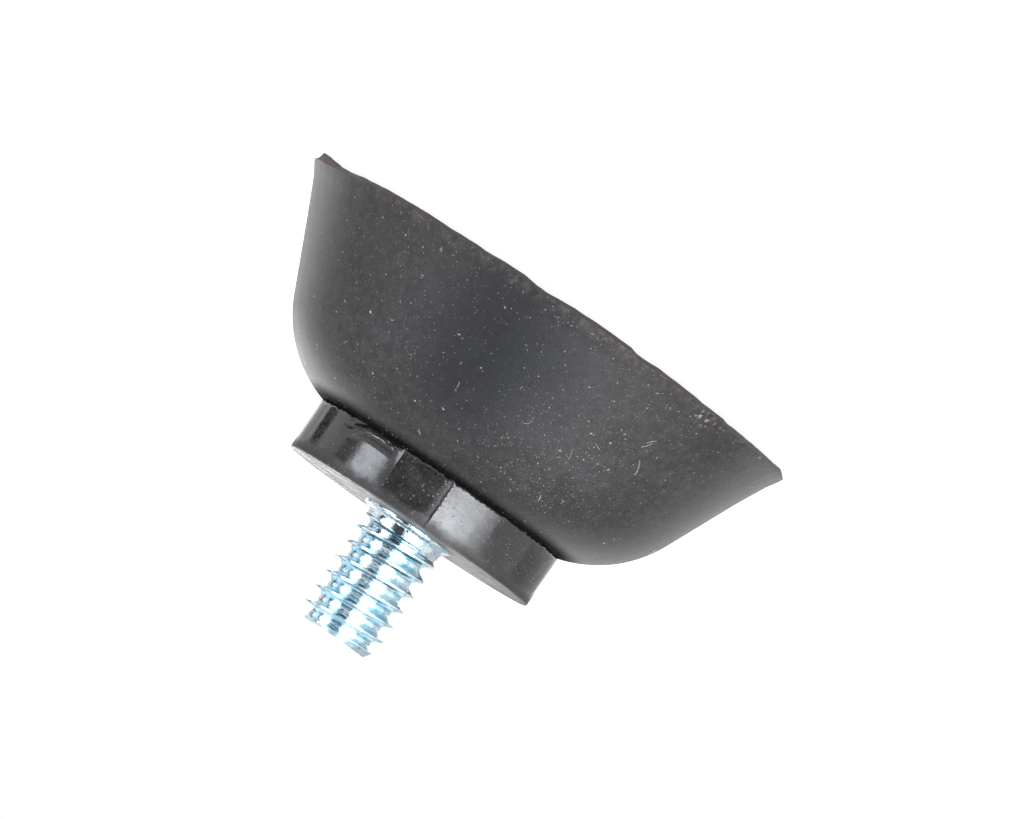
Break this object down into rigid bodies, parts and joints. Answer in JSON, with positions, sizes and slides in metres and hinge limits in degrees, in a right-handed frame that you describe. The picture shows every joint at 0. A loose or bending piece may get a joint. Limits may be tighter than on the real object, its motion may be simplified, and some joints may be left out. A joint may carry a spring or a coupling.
{
  "type": "rubber foot",
  "caption": "Round rubber foot: a hollow flared cup with a thin lip under a solid base disc, with a threaded steel stud moulded into the disc.",
  "frame": {"origin": "centre of the circle on which the lip of the cup stands", "axes": "+Z along the stud, away from the cup; the foot is round about Z, so X and Y are free"},
  "size_m": [0.0401, 0.04, 0.0278],
  "materials": {
    "black_rubber": "moulded rubber, matte and dusty on the cup, glossy round the disc",
    "zinc_steel": "bright zinc plate with a blue passivate"
  },
  "bodies": {
    "root": {"rubber_cup": "black_rubber", "threaded_stud": "zinc_steel"}
  },
  "joints": []
}
